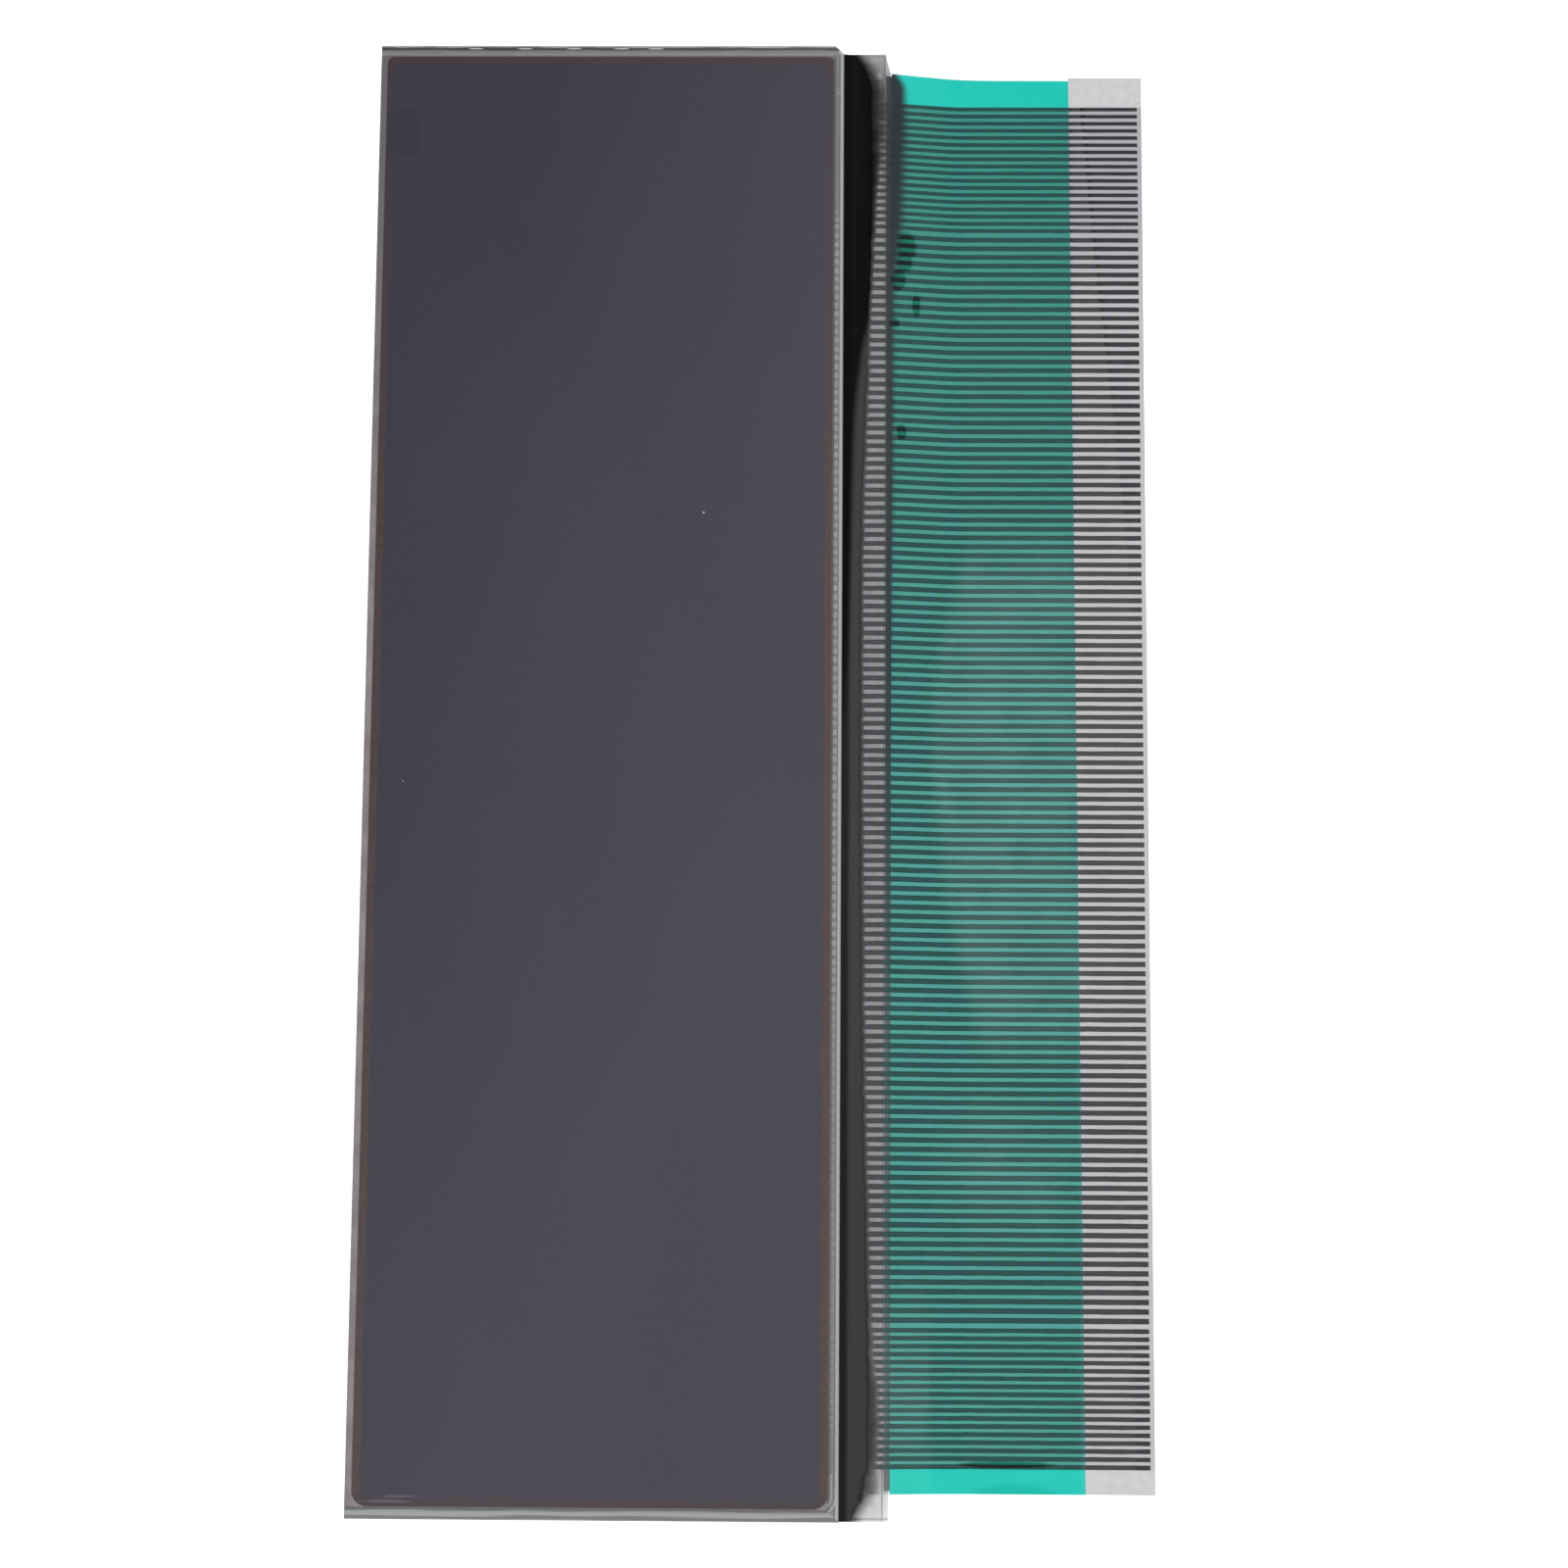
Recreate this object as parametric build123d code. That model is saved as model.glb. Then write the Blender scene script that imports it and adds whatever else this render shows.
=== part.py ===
from build123d import *
import math
import os

# A bare liquid crystal display cell with its flat connector ribbon, lying face up on a table.
# Two glass plates with a polariser on each outer face. The rear plate stands out past the front one
# along one long side. On that ledge the printed ribbon is bonded, and a dark resin seals the step.
# X runs from the display towards the free end of the ribbon, Y along the display, Z up to the viewer.
# The origin is the centre of the whole outline, on the table. All sizes are in millimetres.

# Glass plates
cell_length = 96.95
front_width = 31.1
ledge_width = 3.1
glass_thickness = 0.7
cell_gap = 0.01
end_overhang = 0.35
ledge_bevel = 0.3
front_corner_cut = 0.6
rear_corner_cut = 1.2

# Polarisers, with the strips of glass that they leave bare
polariser_thickness = 0.2
bare_left = 0.05
bare_ledge_side = 0.72
bare_far_end = 0.8
bare_near_end = 0.78

# Seal between the plates, with the port the cell was filled through
seal_width = 0.45
seal_from_left = 0.5
seal_from_ledge_side = 0.7
seal_from_far_end = 0.15
seal_from_near_end = 0.8
seal_corner_radius = 1.1
port_length = 4.0
port_from_left = 11.0
resin_plug_length = 14.0
resin_plug_radius = 0.28

# Printed traces: a wide-pitch block that fills the plate between two fine-pitch blocks
fine_count = 18
fine_pitch = 0.5
fine_trace_width = 0.27
coarse_pitch = 0.6
coarse_trace_width = 0.33
block_step = 0.635
trace_end_room = 3.3
trace_offset = -0.225
trace_thickness = 0.02

# Ribbon
ribbon_reach = 16.9
film_thickness = 0.06
film_margin_far = 2.2
film_margin_near = 1.7
coverlay_thickness = 0.02
coverlay_start = 0.1
coverlay_tail_far = 4.9
coverlay_tail_near = 4.4
trace_tip_margin = 0.3
root_from_step = 0.8
bond_thickness = 0.02
fall_angle = 11.4
edge_bend_radius = 2.5
landing_radius = 9.0
bend_from_edge = 0.6

# Dark resin in the step, and under the ribbon along the edge of the ledge
step_resin_height = 0.5
step_resin_reach = 1.95
step_resin_lip = 0.02
step_resin_end = 0.15
step_resin_end_reach = 1.05
step_resin_taper = 2.4
edge_resin_reach_far = 0.85
edge_resin_reach_near = 0.25
edge_resin_depth = 0.35
edge_resin_inset = 0.2

# Conductors inside the cell border
lead_from_seal = 0.06
lead_from_edge = 0.2
track_width = 0.14
track_spacing = 0.3
track_bend_radius = 0.75
track_run = 2.6
dot_diameter = 0.5

# Places worked out from the sizes above
rear_width = front_width + ledge_width
left = -(rear_width + ribbon_reach) / 2
step = left + front_width
ledge_edge = left + rear_width
tip = ledge_edge + ribbon_reach
near_end = -cell_length / 2
far_end = cell_length / 2
rear_far_end = far_end - end_overhang
rear_length = cell_length - end_overhang
rear_bottom = polariser_thickness
ledge_top = rear_bottom + glass_thickness
front_bottom = ledge_top + cell_gap
front_top = front_bottom + glass_thickness

# Number of wide-pitch traces that the rear plate has room for
fine_blocks = 2 * (fine_pitch * (fine_count - 1) + block_step)
coarse_count = int((rear_length - 2 * trace_end_room - fine_blocks) / coarse_pitch) + 1

# The underside of the clear film is the line that every ribbon layer is measured from
film_on_ledge = front_bottom + bond_thickness + trace_thickness
film_on_table = coverlay_thickness + trace_thickness


def block(x_low, x_high, y_low, y_high, z_low, z_high):
    """A plain slab given by its six sides."""
    size = (x_high - x_low, y_high - y_low, z_high - z_low)
    centre = ((x_low + x_high) / 2, (y_low + y_high) / 2, (z_low + z_high) / 2)
    return Pos(*centre) * Box(*size)


def prism(points, z_low, z_high):
    """A slab with the given outline, seen from above."""
    outline = make_face(Polyline(*points, close=True))
    return extrude(Pos(0, 0, z_low) * outline, amount=z_high - z_low)


# Traces
def trace_layout():
    """Middle and width of every trace, from the near end to the far end."""
    widths = [fine_trace_width] * fine_count + [coarse_trace_width] * coarse_count
    widths += [fine_trace_width] * fine_count
    steps = [fine_pitch] * (fine_count - 1) + [block_step] + [coarse_pitch] * (coarse_count - 1)
    steps += [block_step] + [fine_pitch] * (fine_count - 1)
    middle = trace_offset - sum(steps) / 2
    layout = [(middle, widths[0])]
    for pitch, width in zip(steps, widths[1:]):
        middle += pitch
        layout.append((middle, width))
    return layout


traces = trace_layout()
film_near = traces[0][0] - film_margin_near
film_far = traces[-1][0] + film_margin_far
film_root = step + root_from_step


# The ribbon seen from the side
def ribbon_side(low, high, x_from, x_to):
    """Side view of one layer of the ribbon, between two heights measured from the film's underside.

    The ribbon lies flat on the ledge, bends down over its edge, runs down in a straight slope,
    and lands on the table in a wide bend.
    """
    angle = math.radians(fall_angle)
    fall = film_on_ledge - film_on_table
    bends = (edge_bend_radius + landing_radius) * (1 - math.cos(angle))
    slope = (fall - bends) / math.sin(angle)
    bend_x = ledge_edge - bend_from_edge
    first = (bend_x, film_on_ledge - edge_bend_radius)
    turn_x = bend_x + edge_bend_radius * math.sin(angle) + slope * math.cos(angle)
    second = (turn_x + landing_radius * math.sin(angle), film_on_table + landing_radius)

    def edge(height):
        start = Line((film_root - 1, film_on_ledge + height), (bend_x, film_on_ledge + height))
        over = CenterArc(first, edge_bend_radius + height, 90, -fall_angle)
        landing = CenterArc(second, landing_radius - height, 270 - fall_angle, fall_angle)
        down = Line(over @ 1, landing @ 0)
        flat = Line(landing @ 1, (tip + 1, film_on_table + height))
        return [start, over, down, landing, flat]

    under = edge(low)
    above = edge(high)
    closing = [Line(under[0] @ 0, above[0] @ 0), Line(under[-1] @ 1, above[-1] @ 1)]
    layer = make_face(Curve() + under + above + closing)
    window = Pos((x_from + x_to) / 2, 0) * Rectangle(x_to - x_from, 4 * film_on_ledge)
    return Plane.XZ * (layer & window)


def across(side, y_low, y_high):
    """Stretches a side view along Y. A side view faces the near end."""
    return Pos(0, y_high, 0) * extrude(side, amount=y_high - y_low)


# Glass
def corner_wedge(x, y, cut_x, cut_y):
    """What is broken off a plate's far corner on the ledge side."""
    return prism([(x - cut_x, y), (x + 1, y), (x + 1, y - cut_y), (x, y - cut_y)], 0, front_top)


def make_front_glass():
    plate = block(left, step, near_end, far_end, front_bottom, front_top)
    return plate - corner_wedge(step, far_end, front_corner_cut, front_corner_cut)


def make_rear_glass():
    plate = block(left, ledge_edge, near_end, rear_far_end, rear_bottom, ledge_top)
    edges = plate.edges().filter_by(Axis.Y).group_by(Axis.Z)[-1]
    ground = chamfer(edges.sort_by(Axis.X)[-1], ledge_bevel)
    return ground - corner_wedge(ledge_edge, rear_far_end, ledge_bevel, rear_corner_cut)


# Polarisers
def make_polariser(z_low, far_edge):
    x_low = left + bare_left
    x_high = step - bare_ledge_side
    y_high = far_edge - bare_far_end
    return block(x_low, x_high, near_end + bare_near_end, y_high, z_low, z_low + polariser_thickness)


# Seal, filling port and liquid crystal
seal_left = left + seal_from_left
seal_right = step - seal_from_ledge_side
seal_near = near_end + seal_from_near_end
seal_far = rear_far_end - seal_from_far_end
port_x = left + port_from_left


def seal_outline(inset):
    width = seal_right - seal_left - 2 * inset
    length = seal_far - seal_near - 2 * inset
    centre = Pos((seal_left + seal_right) / 2, (seal_near + seal_far) / 2, ledge_top)
    return centre * RectangleRounded(width, length, seal_corner_radius - inset)


def make_port():
    x_low = port_x - port_length / 2
    x_high = port_x + port_length / 2
    return block(x_low, x_high, seal_far - seal_width, rear_far_end, ledge_top, front_bottom)


def make_perimeter_seal():
    ring = extrude(seal_outline(0) - seal_outline(seal_width), amount=cell_gap)
    return ring - make_port()


def make_liquid_crystal():
    return extrude(seal_outline(seal_width), amount=cell_gap)


def make_end_seal():
    """Resin plug in the filling port, with its bead in the corner under the overhanging front plate."""
    quarter = Pos(rear_far_end, front_bottom) * Circle(resin_plug_radius)
    corner = Pos(rear_far_end, front_bottom) * Rectangle(
        resin_plug_radius, resin_plug_radius, align=(Align.MIN, Align.MAX)
    )
    bead = extrude(Plane.YZ * (quarter & corner), amount=resin_plug_length)
    return Pos(port_x - resin_plug_length / 2, 0, 0) * bead + make_port()


# Conductors on the rear plate
def make_contact_leads():
    x_low = seal_right + lead_from_seal
    x_high = ledge_edge - ledge_bevel - lead_from_edge
    leads = []
    for middle, width in traces:
        leads.append(block(x_low, x_high, middle - width / 2, middle + width / 2, ledge_top, front_bottom))
    return Compound(leads)


def track_middles():
    """Distance of each border track from the seal."""
    first = lead_from_seal + track_width
    return [first, first + track_spacing]


def track_side(distance):
    """One side of a track that leaves the last lead and turns the corner of the cell."""
    x = seal_right + distance
    y = seal_near - distance
    radius = track_bend_radius + distance
    down = Line((x, traces[0][0] - fine_pitch), (x, y + radius))
    turn = CenterArc((x - radius, y + radius), radius, 0, -90)
    along = Line((x - radius, y), (x - radius - track_run, y))
    return [down, turn, along]


def make_common_tracks():
    tracks = []
    for distance in track_middles():
        inner = track_side(distance - track_width / 2)
        outer = track_side(distance + track_width / 2)
        ends = [Line(inner[0] @ 0, outer[0] @ 0), Line(inner[-1] @ 1, outer[-1] @ 1)]
        outline = make_face(Curve() + inner + outer + ends)
        tracks.append(extrude(Plane.XY.offset(ledge_top) * outline, amount=cell_gap))
    return Compound(tracks)


def make_crossover_dots():
    """Conductive dots that carry the commons from the rear plate up to the front plate."""
    distance = sum(track_middles()) / 2
    track_end = seal_right - track_bend_radius - track_run
    places = [
        (track_end - dot_diameter / 2, seal_near - distance),
        (seal_right + distance, traces[-1][0] + 2 * fine_pitch),
    ]
    dots = []
    for x, y in places:
        dots.append(Pos(x, y, ledge_top + cell_gap / 2) * Cylinder(dot_diameter / 2, cell_gap))
    return Compound(dots)


# Ribbon layers
def make_flex_film():
    return across(ribbon_side(0, film_thickness, film_root, tip), film_near, film_far)


def make_flex_traces():
    side = ribbon_side(-trace_thickness, 0, film_root, tip - trace_tip_margin)
    patterns = {}
    for width in (fine_trace_width, coarse_trace_width):
        patterns[width] = across(side, -width / 2, width / 2)
    return Compound([Pos(0, middle, 0) * patterns[width] for middle, width in traces])


def make_flex_coverlay():
    """Green insulating layer under the traces. Its tail edge is cut slightly out of square."""
    start = ledge_edge + coverlay_start
    side = ribbon_side(-trace_thickness - coverlay_thickness, -trace_thickness, start, tip)
    corners = [
        (start, film_near),
        (tip - coverlay_tail_near, film_near),
        (tip - coverlay_tail_far, film_far),
        (start, film_far),
    ]
    return across(side, film_near, film_far) & prism(corners, 0, film_on_ledge)


def make_tail_adhesive():
    """Clear conductive adhesive over the bare ends of the traces."""
    start = tip - coverlay_tail_far
    side = ribbon_side(-trace_thickness - coverlay_thickness, -trace_thickness, start, tip)
    corners = [
        (tip - coverlay_tail_near, film_near),
        (tip, film_near),
        (tip, film_far),
        (tip - coverlay_tail_far, film_far),
    ]
    return across(side, film_near, film_far) & prism(corners, -film_on_ledge, film_on_ledge)


def make_bond_adhesive():
    x_high = ledge_edge - bend_from_edge
    z_high = front_bottom + bond_thickness
    return block(film_root, x_high, film_near, film_far, front_bottom, z_high)


# Dark resin
def make_step_sealant():
    """Resin fillet in the step between the plates. It covers the ribbon's root and thins out to nothing."""
    film_top = film_on_ledge + film_thickness
    toe = step + step_resin_reach
    crest = (step, ledge_top + step_resin_height)
    belly = (step + 0.45 * step_resin_reach, film_top + 0.4 * (crest[1] - film_top))
    lip = (toe, film_top + step_resin_lip)
    surface = ThreePointArc(crest, belly, lip)
    outline = Curve() + [
        surface,
        Line(lip, (toe, ledge_top)),
        Line((toe, ledge_top), (step, ledge_top)),
        Line((step, ledge_top), crest),
    ]
    fillet_body = across(Plane.XZ * make_face(outline), near_end, rear_far_end)
    low = near_end + step_resin_end
    high = rear_far_end - step_resin_end
    blunt = step + step_resin_end_reach
    shoulder = toe - 0.25 * (toe - blunt)
    plan = Curve() + [
        Line((step, low), (step, high)),
        Line((step, high), (blunt, high)),
        ThreePointArc((blunt, high), (shoulder, high - 0.4 * step_resin_taper), (toe, high - step_resin_taper)),
        Line((toe, high - step_resin_taper), (toe, low + step_resin_taper)),
        ThreePointArc((toe, low + step_resin_taper), (shoulder, low + 0.4 * step_resin_taper), (blunt, low)),
        Line((blunt, low), (step, low)),
    ]
    cutter = extrude(Pos(0, 0, ledge_top) * make_face(plan), amount=glass_thickness)
    root = block(film_root, toe, film_near, film_far, ledge_top, film_top)
    leads = block(step, toe, film_near, film_far, ledge_top, front_bottom)
    return (fillet_body & cutter) - root - leads


def make_edge_sealant():
    """Resin wedge between the edge of the ledge and the ribbon that bends over it."""
    below_coverlay = -trace_thickness - coverlay_thickness
    x_low = ledge_edge - ledge_bevel
    x_high = ledge_edge + edge_resin_reach_far
    under_ribbon = ribbon_side(below_coverlay - edge_resin_depth, below_coverlay, x_low, x_high)
    y_low = film_near + edge_resin_inset
    y_high = film_far - edge_resin_inset
    plan = [
        (x_low, y_low),
        (ledge_edge + edge_resin_reach_near, y_low),
        (ledge_edge + edge_resin_reach_near, y_low + 0.6 * (y_high - y_low)),
        (ledge_edge + edge_resin_reach_far, y_high),
        (x_low, y_high),
    ]
    wedge = across(under_ribbon, y_low, y_high) & prism(plan, 0, film_on_ledge)
    return wedge - make_rear_glass()


pieces = {
    "front_polariser": make_polariser(front_top, far_end),
    "front_glass": make_front_glass(),
    "perimeter_seal": make_perimeter_seal(),
    "end_seal": make_end_seal(),
    "liquid_crystal": make_liquid_crystal(),
    "contact_leads": make_contact_leads(),
    "common_tracks": make_common_tracks(),
    "crossover_dots": make_crossover_dots(),
    "rear_glass": make_rear_glass(),
    "rear_polariser": make_polariser(0, rear_far_end),
    "bond_adhesive": make_bond_adhesive(),
    "flex_film": make_flex_film(),
    "flex_traces": make_flex_traces(),
    "flex_coverlay": make_flex_coverlay(),
    "tail_adhesive": make_tail_adhesive(),
    "step_sealant": make_step_sealant(),
    "edge_sealant": make_edge_sealant(),
}

os.makedirs("parts", exist_ok=True)
for name, piece in pieces.items():
    export_step(piece, f"parts/{name}.step")
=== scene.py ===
# %% [markdown]
# # A bare liquid crystal display cell with its ribbon connector
# The real object is two thin glass plates with a dark polarising film on each side. A flat printed
# ribbon is bonded to the ledge of the rear plate, and it carries the signals to the circuit board.
# The solids come from the CAD frame, so every size and place is settled before Blender starts. This
# script adds what a solid can't show: printed and lacquered layers, broken glass edges, dirt and light.

# %% The frame
import bmesh
import bpy
import math
from collections import namedtuple
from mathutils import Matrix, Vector, noise


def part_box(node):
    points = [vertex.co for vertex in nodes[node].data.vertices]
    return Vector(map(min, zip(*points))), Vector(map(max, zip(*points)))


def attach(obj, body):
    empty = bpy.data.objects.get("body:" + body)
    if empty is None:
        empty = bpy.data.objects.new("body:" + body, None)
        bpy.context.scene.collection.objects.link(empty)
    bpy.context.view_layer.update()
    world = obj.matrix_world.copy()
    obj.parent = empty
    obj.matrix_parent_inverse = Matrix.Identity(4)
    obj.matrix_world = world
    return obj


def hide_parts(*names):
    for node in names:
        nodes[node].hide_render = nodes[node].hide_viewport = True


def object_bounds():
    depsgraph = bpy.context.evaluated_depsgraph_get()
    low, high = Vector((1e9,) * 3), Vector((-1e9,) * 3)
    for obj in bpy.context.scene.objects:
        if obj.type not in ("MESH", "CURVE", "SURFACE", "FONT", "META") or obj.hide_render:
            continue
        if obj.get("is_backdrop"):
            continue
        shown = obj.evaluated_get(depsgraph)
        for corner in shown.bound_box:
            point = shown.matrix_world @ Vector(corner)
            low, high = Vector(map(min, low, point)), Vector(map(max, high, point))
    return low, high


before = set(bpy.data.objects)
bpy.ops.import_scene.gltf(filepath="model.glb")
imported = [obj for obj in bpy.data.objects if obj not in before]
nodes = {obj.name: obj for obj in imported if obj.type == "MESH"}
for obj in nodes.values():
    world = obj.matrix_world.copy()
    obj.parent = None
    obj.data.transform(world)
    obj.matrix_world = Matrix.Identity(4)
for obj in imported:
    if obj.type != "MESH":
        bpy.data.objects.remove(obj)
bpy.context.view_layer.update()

print("CAD nodes:", sorted(nodes))

# %% [markdown]
# Blender works in metres and the display is described in millimetres, so one factor keeps the
# numbers readable. The corners of the CAD nodes give every edge that a finish has to meet, which
# is safer than typing those numbers again.

# %% Places read from the frame
MM = 0.001


def box_mm(node):
    low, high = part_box(node)
    return [1000 * v for v in low], [1000 * v for v in high]


front_low, front_high = box_mm("front_glass")
rear_low, rear_high = box_mm("rear_glass")
film_low, film_high = box_mm("flex_film")
polariser_low, polariser_high = box_mm("front_polariser")
traces_low, traces_high = box_mm("flex_traces")
print("front glass:", [round(v, 2) for v in front_low], [round(v, 2) for v in front_high])
print("ribbon film:", [round(v, 2) for v in film_low], [round(v, 2) for v in film_high])

# %% [markdown]
# A thin flat thing like this is photographed from straight above, between large lights at its sides.
# The place of the camera and its lens were fitted to the corners of the glass, the ends of the ribbon
# and the rows of traces in the photograph, so the perspective matches from edge to edge.

# %% Camera
scene = bpy.context.scene
camera_data = bpy.data.cameras.new("camera")
camera_data.sensor_width = 36.0
camera_data.lens = 75.446
camera = bpy.data.objects.new("camera", camera_data)
scene.collection.objects.link(camera)
camera.location = (0.005166, -0.033698, 0.212243)
camera.rotation_euler = [math.radians(a) for a in (8.655, 0.854, 0.371)]
scene.camera = camera
print("camera height in mm:", round(1000 * camera.location.z, 1))

# %% [markdown]
# Materials are built from nodes, and each node does one small thing. Written out one by one they fill
# pages, so a few short functions add a node, feed its sockets and hand back its result. A sum or a
# product of two masks is then one call.

# %% Nodes and arithmetic
def add(tree, kind, **settings):
    node = tree.nodes.new(kind)
    for key, value in settings.items():
        setattr(node, key, value)
    return node


def feed(tree, socket, value):
    """Links a socket to another node's output, or sets it to a plain value."""
    if isinstance(value, bpy.types.NodeSocket):
        tree.links.new(value, socket)
    else:
        socket.default_value = value


def math_of(tree, operation, first, second=0.0):
    node = add(tree, "ShaderNodeMath", operation=operation)
    feed(tree, node.inputs[0], first)
    feed(tree, node.inputs[1], second)
    return node.outputs[0]


def plus(tree, first, second):
    return math_of(tree, "ADD", first, second)


def minus(tree, first, second):
    return math_of(tree, "SUBTRACT", first, second)


def times(tree, first, second):
    return math_of(tree, "MULTIPLY", first, second)


def larger(tree, first, second):
    return math_of(tree, "MAXIMUM", first, second)


def inverse(tree, mask):
    return minus(tree, 1.0, mask)


def both(tree, first, *others):
    """Several masks multiplied."""
    for other in others:
        first = times(tree, first, other)
    return first


print("arithmetic is ready")

# %% [markdown]
# Nearly every finish here is one colour painted over another through a mask. The mask is a number from
# 0 to 1, so the same few helpers serve for all: a mix of two colours, a mix of two numbers, a soft step
# and a line through measured points. A painted image could do it too, but it would have to be drawn
# again for every change of size.

# %% Mixes, steps and lines
def grey(value):
    return (value, value, value)


def mix_of(tree, factor, first, second):
    """Mixes two colours, each a socket or three numbers."""
    node = add(tree, "ShaderNodeMix", data_type="RGBA")
    feed(tree, node.inputs["Factor"], factor)
    for socket, colour in ((node.inputs[6], first), (node.inputs[7], second)):
        feed(tree, socket, (*colour, 1.0) if isinstance(colour, tuple) else colour)
    return node.outputs[2]


def blend_of(tree, factor, first, second):
    """Mixes two numbers."""
    node = add(tree, "ShaderNodeMix")
    for label, value in (("Factor", factor), ("A", first), ("B", second)):
        feed(tree, node.inputs[label], value)
    return node.outputs[0]


def tinted(tree, tone, red=1.0, green=1.0, blue=1.0):
    """A colour made from one tone, with a share of it in each channel."""
    node = add(tree, "ShaderNodeCombineColor")
    for label, share in (("Red", red), ("Green", green), ("Blue", blue)):
        feed(tree, node.inputs[label], times(tree, tone, share))
    return node.outputs[0]


def ramp_of(tree, value, start, stop, low=0.0, high=1.0):
    """A smooth step from low to high while value goes from start to stop."""
    node = add(tree, "ShaderNodeMapRange", interpolation_type="SMOOTHSTEP")
    settings = {"Value": value, "From Min": start, "From Max": stop, "To Min": low, "To Max": high}
    for label, item in settings.items():
        feed(tree, node.inputs[label], item)
    return node.outputs["Result"]


def curve_of(tree, value, points):
    """A smooth line through points (value, result), both in their own units."""
    xs, ys = [p[0] for p in points], [p[1] for p in points]
    spread = add(tree, "ShaderNodeMapRange")
    feed(tree, spread.inputs["Value"], value)
    spread.inputs["From Min"].default_value = xs[0]
    spread.inputs["From Max"].default_value = xs[-1]
    bend = add(tree, "ShaderNodeFloatCurve")
    feed(tree, bend.inputs["Value"], spread.outputs["Result"])
    top = max(max(ys), 1e-6)
    line = bend.mapping.curves[0]
    while len(line.points) < len(points):
        line.points.new(0.5, 0.5)
    for point, (x, y) in zip(line.points, points):
        point.location = ((x - xs[0]) / (xs[-1] - xs[0]), y / top)
        point.handle_type = "AUTO_CLAMPED"
    bend.mapping.update()
    return times(tree, bend.outputs["Value"], top)


print("mixes, steps and lines are ready")

# %% [markdown]
# What takes many nodes and is used again goes into a node group: a box with named sockets. A copy of
# all its nodes in each material would do the same, but then a mend would have to be made in each.
# Places are in millimetres on the object itself, so the finish keeps its size and stays in place.

# %% Groups and a place in millimetres
FLOAT, VECTOR = "NodeSocketFloat", "NodeSocketVector"


def new_group(name, inputs, outputs):
    """A shader group with the given sockets, and its input and output nodes."""
    group = bpy.data.node_groups.new(name, "ShaderNodeTree")
    for label, kind in inputs:
        group.interface.new_socket(label, in_out="INPUT", socket_type=kind)
    for label, kind in outputs:
        group.interface.new_socket(label, in_out="OUTPUT", socket_type=kind)
    return group, group.nodes.new("NodeGroupInput"), group.nodes.new("NodeGroupOutput")


def use_group(tree, group, **inputs):
    node = add(tree, "ShaderNodeGroup", node_tree=group)
    for label, value in inputs.items():
        feed(tree, node.inputs[label.replace("_", " ")], value)
    return node


place_group, start, end = new_group("place_mm", [], [("Place", VECTOR), ("X", FLOAT), ("Y", FLOAT)])
coordinates = place_group.nodes.new("ShaderNodeTexCoord")
scaled = add(place_group, "ShaderNodeVectorMath", operation="SCALE")
scaled.inputs["Scale"].default_value = 1 / MM
parts = place_group.nodes.new("ShaderNodeSeparateXYZ")
place_group.links.new(coordinates.outputs["Object"], scaled.inputs[0])
place_group.links.new(scaled.outputs[0], parts.inputs[0])
place_group.links.new(scaled.outputs[0], end.inputs["Place"])
for axis in "XY":
    place_group.links.new(parts.outputs[axis], end.inputs[axis])
print("group:", place_group.name)

# %% [markdown]
# A stripe, a bar or a square is a window: 1 between two limits, 0 beyond them, with soft edges. Two
# smooth steps multiplied give it. Two windows multiplied, one for each direction, give a rectangle.

# %% A soft window between two limits
window_group, start, end = new_group(
    "window", [("Value", FLOAT), ("Low", FLOAT), ("High", FLOAT), ("Soft", FLOAT)], [("Mask", FLOAT)]
)
soft_edges = []
for limit, before_it, after_it in (("Low", 0.0, 1.0), ("High", 1.0, 0.0)):
    first = minus(window_group, start.outputs[limit], start.outputs["Soft"])
    last = plus(window_group, start.outputs[limit], start.outputs["Soft"])
    soft_edges.append(ramp_of(window_group, start.outputs["Value"], first, last, before_it, after_it))
feed(window_group, end.inputs["Mask"], times(window_group, *soft_edges))


def window(tree, value, low, high, soft=0.02):
    return use_group(tree, window_group, Value=value, Low=low, High=high, Soft=soft).outputs["Mask"]


print("group:", window_group.name)

# %% [markdown]
# Nothing real is quite even, so most colours are mixed by a noise. The noise is spread to the full
# range from 0 to 1, so that a finish can state its darkest and its palest colour. Where grain runs in
# one direction, as in snapped glass, the place is stretched before the noise reads it.

# %% Fine irregularity
mottle_group, start, end = new_group(
    "mottle", [("Place", VECTOR), ("Scale", FLOAT), ("Detail", FLOAT)], [("Value", FLOAT)]
)
cloud = add(mottle_group, "ShaderNodeTexNoise")
feed(mottle_group, cloud.inputs["Vector"], start.outputs["Place"])
feed(mottle_group, cloud.inputs["Scale"], start.outputs["Scale"])
feed(mottle_group, cloud.inputs["Detail"], start.outputs["Detail"])
feed(mottle_group, end.inputs["Value"], ramp_of(mottle_group, cloud.outputs[0], 0.28, 0.72))


def stretched(tree, place, x, y, z):
    """The place with each axis scaled, so that a noise on it is drawn out."""
    node = add(tree, "ShaderNodeVectorMath", operation="MULTIPLY")
    feed(tree, node.inputs[0], place)
    node.inputs[1].default_value = (x, y, z)
    return node.outputs[0]


def mottle(tree, place, scale, detail=3.0):
    return use_group(tree, mottle_group, Place=place, Scale=scale, Detail=detail).outputs["Value"]


print("group:", mottle_group.name)

# %% [markdown]
# Smudges, wet patches and flakes are spots: the distance from a centre, divided by the size of the
# spot, and made ragged by a noise. Modelled blobs would stand out from the surface, and these don't.

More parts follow.
